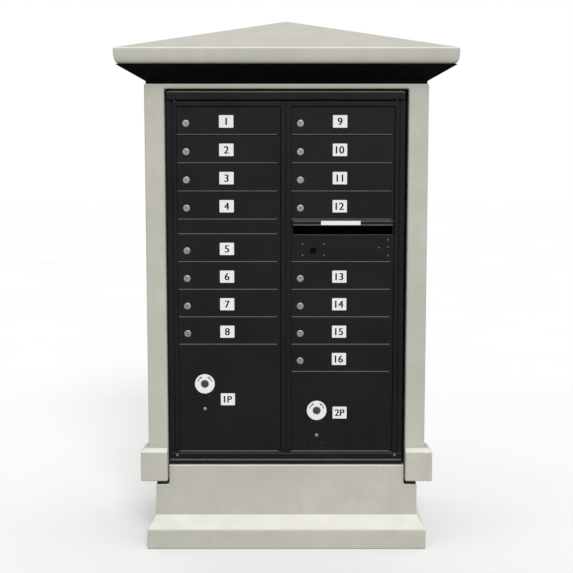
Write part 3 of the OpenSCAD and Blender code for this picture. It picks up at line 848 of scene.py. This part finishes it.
for n in range(1, 17):
    node = "tenant_door_%02d" % n
    leaf_low, leaf_high = box_mm(node)
    lock_x, lock_z = lock_centre("tenant_lock_%02d" % n, TENANT_PLUG)
    in_black("tenant_leaf_%02d" % n,
             lambda bm: draw_leaf(bm, leaf_low, leaf_high, lock_x, lock_z, TENANT_HOLE),
             "tenant_%02d" % n, node, 0.5)
print("sixteen tenant door leaves")

# %% Parcel door leaves with their rivets and lock case
PARCEL_LOCKS = {}
for n in (1, 2):
    node = "parcel_door_%d" % n
    leaf_low, leaf_high = box_mm(node)
    PARCEL_LOCKS[n] = lock_centre("parcel_lock_%d" % n, PARCEL_PLUG)

    def draw_parcel(bm):
        x, z = PARCEL_LOCKS[n]
        draw_leaf(bm, leaf_low, leaf_high, x, z, PARCEL_HOLE)
        slab(bm, (x - 24, FACE + 3, z - 118), (x + 24, FACE + 8.2, z - 32))
        for dx in (-17, 17):
            for dz in (-41, -111):
                head = at_face((2.4, 0), (2.3, -0.5), (1.4, -1.0), (0, -1.1))
                turned(bm, x + dx, z + dz, head, 16)

    in_black("parcel_leaf_%d" % n, draw_parcel, "parcel_%d" % n, node, 0.5)
print("two parcel door leaves")

# %% [markdown]
# ## Locks
# A cam lock shows a stepped nickel flange with a plug in it, and the plug has a keyway. Behind
# the door are the threaded body and its nut. The flange and the plug are turned shapes. The
# keyway is a real slot: the plug's face fans from the rim to a narrow loop, and the loop's walls
# go inwards.

# %% Lock bodies and plugs
def draw_lock_body(bm, x, z, flange, body):
    """The stepped flange with the threaded body behind it, and the nut."""
    bore, thread = body - 2.4, body - 0.1
    turned(bm, x, z, at_face(
        (body, 0), (flange, 0), (flange, -0.8), (flange - 0.9, -1.7), (flange - 2.2, -2.0),
        (flange - 4.0, -2.0), (bore, -1.7), (bore, 8.4), (thread, 8.4), (thread, 0)), 40, ring=True)
    inner, outer = body - 0.2, body + 4
    nut = at_face((inner, 3.05), (outer, 3.05), (outer, 7.4), (inner, 7.4))
    turned(bm, x, z, nut, 6, ring=True)


def draw_plug(bm, x, z, radius, arm):
    """The plug with its keyway, and the cam behind the door."""
    front, deep, steps = FACE - 2.6, FACE + 6.0, 32
    slot_w, slot_h = 1.2, radius * 0.62
    outer = ring_at(bm, x, front, z, radius - 0.4, steps)
    corners = [(slot_w, slot_h), (-slot_w, slot_h), (-slot_w, -slot_h), (slot_w, -slot_h)]
    mouth = [bm.verts.new((x + a, front, z + b)) for a, b in corners]
    floor = [bm.verts.new((x + a, deep, z + b)) for a, b in corners]
    for n in range(steps):
        bm.faces.new([outer[n], outer[(n + 1) % steps], mouth[n * 4 // steps]])
    for n in range(4):
        bm.faces.new([outer[(n + 1) * steps // 4 % steps], mouth[(n + 1) % 4], mouth[n]])
        bm.faces.new([mouth[n], mouth[(n + 1) % 4], floor[(n + 1) % 4], floor[n]])
    bm.faces.new(floor)
    sides = [(radius - 0.4, front), (radius, front + 0.5)] + at_face((radius, 9), (4, 9), (4, 13))
    turned(bm, x, z, sides, steps, ends=(False, True))
    slab(bm, (x - 5, FACE + 9, z + 5 - arm), (x + 5, FACE + 11, z + 6))
    turned(bm, x, z + 5 - arm, at_face((5, 9.01), (5, 10.99)), 24)


def fit_lock(label, metal, x, z, flange, body, plug, arm, door_body, cam_body, cam_node):
    piece("lock_body_" + label, lambda bm: draw_lock_body(bm, x, z, flange, body), metal,
          door_body, (), 0.0)
    piece("lock_plug_" + label, lambda bm: draw_plug(bm, x, z, plug, arm), metal,
          cam_body, [cam_node], 0.25, 2)


for n in range(1, 17):
    x, z = lock_centre("tenant_lock_%02d" % n, TENANT_PLUG)
    fit_lock("%02d" % n, LOCK_METAL, x, z, 11.5, 9.5, TENANT_PLUG, 28.0,
             "tenant_%02d" % n, "tenant_cam_%02d" % n, "tenant_lock_%02d" % n)
for n in (1, 2):
    x, z = PARCEL_LOCKS[n]
    fit_lock("parcel_%d" % n, WORN_ZINC, x, z, 13.0, 10.5, PARCEL_PLUG, 83.0,
             "parcel_%d" % n, "parcel_cam_%d" % n, "parcel_lock_%d" % n)
print("eighteen locks")

# %% [markdown]
# ## Fixed face panels on the master doors
# The blank panel, the carrier lock panel and the mail slot hood are bent sheet. The carrier panel
# has a round key hole, four rivets around it and four screws near its right edge.

# %% Blank panel and carrier lock panel
def draw_face_panel(bm, low, high):
    """A plain panel with a fold along its top and bottom and a drip lip."""
    slab(bm, (low.x, FACE, low.z), (high.x, FACE + 1.2, high.z))
    for z in (low.z, high.z - 2):
        slab(bm, (low.x + 8, FACE + 1.0, z), (high.x - 8, FACE + 7.9, z + 2))
    draw_lip(bm, low.x + 0.5, high.x - 10, low.z)


def draw_carrier_panel(bm):
    """The same with a round key hole."""
    low, high = carrier
    hole, rim = [], []
    for y in (FACE, FACE + 1.2):
        hole.append(ring_at(bm, low.x + 71, y, low.z + 37, 11, 32))
        rim.append([bm.verts.new((x, y, z)) for x, z in
                    ((low.x, low.z), (high.x, low.z), (high.x, high.z), (low.x, high.z))])
        fill_between(bm, rim[-1], hole[-1])
    tube(bm, *hole)
    tube(bm, *rim)
    for lip in (low.z, high.z - 2):
        slab(bm, (low.x + 8, FACE + 1.2, lip), (high.x - 8, FACE + 7.9, lip + 2))
    draw_lip(bm, low.x + 0.5, high.x - 10, low.z)


def draw_heads(bm, spots):
    """Low domed heads at places measured from the carrier panel's lower left corner."""
    head = at_face((3.2, 0), (3.1, -0.5), (2.0, -1.1), (0, -1.3))
    for dx, dz in spots:
        turned(bm, carrier[0].x + dx, carrier[0].z + dz, head, 16)


in_black("blank_panel", lambda bm: draw_face_panel(bm, *blank),
         "left_master", "blank_filler_panel", 0.4)
in_black("carrier_panel", draw_carrier_panel, "right_master", "carrier_lock_panel", 0.25)
rivets = [(71 + a, 40 + b) for a in (-35, 35) for b in (-18, 18)]
screws = [(315, z) for z in (21, 49, 73)] + [(286, 47)]
for name, spots in (("carrier_panel_rivets", rivets), ("carrier_panel_screws", screws)):
    piece(name, lambda bm: draw_heads(bm, spots), WORN_ZINC,
          "right_master", (), 0.0)
print("fixed face panels")

# %% Mail slot hood
def draw_slot_hood(bm):
    low, high = box_mm("mail_slot_hood")
    x0, x1, lip = low.x + 6, high.x - 6, low.z + 16.5
    slab(bm, (low.x, FACE, low.z), (high.x, FACE + 1.2, high.z))
    swept(bm, x0, x1, [
        (FACE + 0.3, lip), (low.y + 3.2, lip), (low.y + 1.4, lip - 1.8), (low.y + 1.4, low.z + 4.6),
        (low.y, low.z + 2.6), (low.y, low.z), (low.y + 3.4, low.z), (low.y + 3.4, lip - 2.5),
        (FACE + 0.3, lip - 2.5)])
    for x in (x0, x1 - 2.5):
        slab(bm, (x, low.y + 1.6, low.z), (x + 2.5, FACE + 0.2, lip - 0.3))
    slab(bm, (low.x + 8, FACE + 1.0, high.z - 2), (high.x - 8, FACE + 7.9, high.z))


in_black("slot_hood", draw_slot_hood, "right_master", "mail_slot_hood", 0.5)
print("mail slot hood")

# %% [markdown]
# ## Labels
# Each tenant door has a white number label with rounded corners, and each parcel door has a label
# and a round decal behind its lock with two short arrows that show which way to turn the key. The
# numbers are plain digits in Blender's own font, turned into mesh so that they stay with the
# door. A printer makes light type bold by striking it twice, and here the digits are struck five
# times, side by side.

# %% Label plates
def draw_plate(bm, x, z, width, height, y, thick=0.3, radius=2.0, steps=5):
    """A thin plate with rounded corners, its front at y."""
    outline = []
    for cx, cz, start in ((1, 1, 0), (-1, 1, 90), (-1, -1, 180), (1, -1, 270)):
        for n in range(steps + 1):
            turn = math.radians(start + 90 * n / steps)
            outline.append((x + cx * (width / 2 - radius) + radius * math.cos(turn),
                            z + cz * (height / 2 - radius) + radius * math.sin(turn)))
    prism(bm, *([bm.verts.new((a, depth, b)) for a, b in outline] for depth in (y, y + thick)))


def sticker(name, draw, body):
    """A white label."""
    piece(name, draw, LABEL, body, (), 0.0)


# %% Printed digits
LABEL_SIZE = (46.5, 40)         # width and height of the number labels
LABEL_FACE, INK_FACE = FACE - 0.3, FACE - 0.36
FINE = 0.001 * MM               # points closer than this are one point


def print_text(name, text, x, z, size, body, weight=0.85):
    """Flat digits just proud of a label, centred on x, z, riding on a body."""
    curve = bpy.data.curves.new(name, "FONT")
    curve.body, curve.size = text, size * MM
    curve.align_x, curve.align_y, curve.extrude = "CENTER", "CENTER", 0.05 * MM
    writing = bpy.data.objects.new(name + "_curve", curve)
    bpy.context.scene.collection.objects.link(writing)
    bpy.context.view_layer.update()
    mesh = bpy.data.meshes.new_from_object(writing)
    bpy.data.objects.remove(writing)
    mesh.transform(Matrix.Rotation(math.radians(90), 4, "X"))
    reach = [[v.co[axis] for v in mesh.vertices] for axis in (0, 2)]
    middle = [(min(values) + max(values)) / 2 for values in reach]
    mesh.transform(Matrix.Translation((x * MM - middle[0], INK_FACE * MM, z * MM - middle[1])))
    bm = bmesh.new()
    bm.from_mesh(mesh)
    bmesh.ops.remove_doubles(bm, verts=bm.verts, dist=FINE)
    bmesh.ops.dissolve_degenerate(bm, edges=bm.edges, dist=FINE)
    bmesh.ops.recalc_face_normals(bm, faces=bm.faces)
    bm.to_mesh(mesh)
    bm.clear()
    for shift in (-weight, -weight / 2, 0.0, weight / 2, weight):
        bm.from_mesh(mesh)
        bmesh.ops.translate(bm, vec=(shift * MM, 0, 0), verts=bm.verts[-len(mesh.vertices):])
    bm.to_mesh(mesh)
    bm.free()
    mesh.materials.clear()
    mesh.materials.append(INK)
    obj = bpy.data.objects.new(name, mesh)
    bpy.context.scene.collection.objects.link(obj)
    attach(obj, body)


for n in range(1, 17):
    leaf_low, leaf_high = box_mm("tenant_door_%02d" % n)
    x, z, body = leaf_low.x + (159.5 if n < 9 else 157.0), leaf_low.z + 43.3, "tenant_%02d" % n
    sticker("number_label_%02d" % n, lambda bm: draw_plate(bm, x, z, *LABEL_SIZE, LABEL_FACE), body)
    print_text("number_%02d" % n, str(n), x, z, 34, body)
print("sixteen number labels")

# %% [markdown]
# The ring decal is a flat annulus, drawn with the same turned shape as the locks. Each arrow is a
# short arc that ends in a barbed head, drawn as one closed outline.

# %% Parcel labels and ring decals
def draw_arrow(bm, x, z, radius, start, sweep, y):
    """A thin arc of even width that ends in an arrow head."""
    steps, half, barb = 10, 1.3, 3.4
    turns = [math.radians(start + sweep * n / steps) for n in range(steps + 1)]
    tip = math.radians(start + sweep * 1.45)
    outline = [(radius - half, t) for t in turns]
    outline += [(radius - barb, turns[-1]), (radius, tip), (radius + barb, turns[-1])]
    outline += [(radius + half, t) for t in reversed(turns)]
    front, back = [], []
    for ring, depth in ((front, y), (back, y + 0.05)):
        ring += [bm.verts.new((x + r * math.cos(t), depth, z + r * math.sin(t))) for r, t in outline]
        bm.faces.new(ring)
    tube(bm, front, back)


for n in (1, 2):
    x, z = PARCEL_LOCKS[n]
    body = "parcel_%d" % n
    band = at_face((32.5, -0.02), (32.5, -0.3), (13.2, -0.3), (13.2, -0.02))
    sticker("ring_decal_%d" % n, lambda bm: turned(bm, x, z, band, 64, ring=True), body)

    def draw_arrows(bm):
        for start, sweep in ((165, -38), (15, 38)):
            draw_arrow(bm, x, z, 24.5, start, sweep, INK_FACE)

    piece("ring_arrows_%d" % n, draw_arrows, INK, body, (), 0.0)
    label_x, label_z = x + 76, z + (-52 if n == 1 else -7.5)
    sticker("parcel_label_%d" % n,
            lambda bm: draw_plate(bm, label_x, label_z, *LABEL_SIZE, LABEL_FACE), body)
    print_text("parcel_number_%d" % n, "%dP" % n, label_x, label_z, 32, body)
    button = at_face((5.5, 0), (5.5, -0.9), (4.4, -1.6), (0, -1.6))
    piece("parcel_button_%d" % n, lambda bm: turned(bm, x, z - 84, button, 24),
          LOCK_METAL, body, (), 0.0)

hood_low = box_mm("mail_slot_hood")[0]
sticker("hood_label", lambda bm: draw_plate(
    bm, hood_low.x + 160, hood_low.z + 9.8, 128, 13.6, hood_low.y - 0.25, thick=1.6, radius=1.0),
    "right_master")
print("ring decals, parcel labels and hood label")

# %% [markdown]
# ## Finishes on the pieces that keep their own mesh
# The inner pieces are already the right shape: shelves, rods, pins, the lock case, the pedestal.
# They only need their finish, which replaces the materials that came with them.

# %% Dress the remaining nodes
KEPT = {
    # The setting pads' black is partly rubber, partly painted shade under the foot blocks.
    "setting_pads": PAD_RUBBER_AND_SHADE, "pedestal_frame": POWDER_COAT, "fixing_screws": FIXING_STEEL,
    "cabinet_shell": POWDER_COAT, "compartment_rack": POWDER_COAT, "master_hinge_pins": FIXING_STEEL,
    # The hinge rods' near-black is partly painted shade in the gaps between the doors.
    "left_hinge_rod": DARK_STEEL_AND_GAP_SHADE, "right_hinge_rod": DARK_STEEL_AND_GAP_SHADE, "carrier_lock_case": SOFFIT_SHADE_AND_MATT_BLACK,
    "carrier_lock_plug": SOFFIT_SHADE_AND_MATT_BLACK, "master_latch_bar": FIXING_STEEL,
}
for node, material in KEPT.items():
    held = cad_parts[node]
    held.data.materials.clear()
    held.data.materials.append(material)
print("kept nodes dressed:", len(KEPT))

# %% [markdown]
# ## Floor, light and camera
# The floor is a plain pale plane and the world is white, for a plain product view. Both look pale
# to the camera but give less light than they show, so the stone keeps its shading. One soft sun
# shines from above and behind the camera.

# %% Floor and world
def make_floor():
    bm = bmesh.new()
    bmesh.ops.create_grid(bm, x_segments=1, y_segments=1, size=30.0)
    mesh = bpy.data.meshes.new("floor")
    bm.to_mesh(mesh)
    bm.free()
    material, tree, shader = finish("pale_floor", 0.9, specular=0.1)
    tone = place_effect(tree, PATCHES, 0.8)
    seen = tree.nodes.new("ShaderNodeLightPath").outputs["Is Camera Ray"]
    pale = blend(tree, tone["Tone"], (0.90, 0.90, 0.90), (0.93, 0.93, 0.93))
    wire(tree, blend(tree, seen, (0.40, 0.40, 0.39), pale), shader.inputs["Base Color"])
    mesh.materials.append(material)
    floor = bpy.data.objects.new("floor", mesh)
    bpy.context.scene.collection.objects.link(floor)


make_floor()
world = bpy.data.worlds.new("studio")
bpy.context.scene.world = world
world.use_nodes = True
sky = world.node_tree.nodes["Background"]
sky.inputs["Color"].default_value = (1.0, 1.0, 1.0, 1.0)
direct = world.node_tree.nodes.new("ShaderNodeLightPath").outputs["Is Camera Ray"]
wire(world.node_tree, spread(world.node_tree, direct, 0.0, 1.0, 0.86, 1.0), sky.inputs["Strength"])
bpy.context.scene.view_settings.view_transform = "Standard"


# %% Light
sun = bpy.data.lights.new("daylight", "SUN")
sun.energy, sun.angle = 1.3, math.radians(20)
lamp = bpy.data.objects.new("daylight", sun)
lamp.rotation_euler = Vector((-0.15, 0.82, -0.57)).to_track_quat("-Z", "Y").to_euler()
bpy.context.scene.collection.objects.link(lamp)

# %% [markdown]
# The camera looks slightly down from about eye height, 3.66 m in front of the column, through a
# fairly long lens, so the uprights stay nearly parallel and the roof shows a little of its
# slope.

# %% Camera
lens = bpy.data.cameras.new("camera")
lens.lens, lens.sensor_width = 70.9, 36.0
camera = bpy.data.objects.new("camera", lens)
camera.location = (0.0, STONE[0].y * MM - 3.66, 1.284)
camera.rotation_euler = (math.radians(90 - 6.37), 0.0, 0.0)
bpy.context.scene.collection.objects.link(camera)
bpy.context.scene.camera = camera
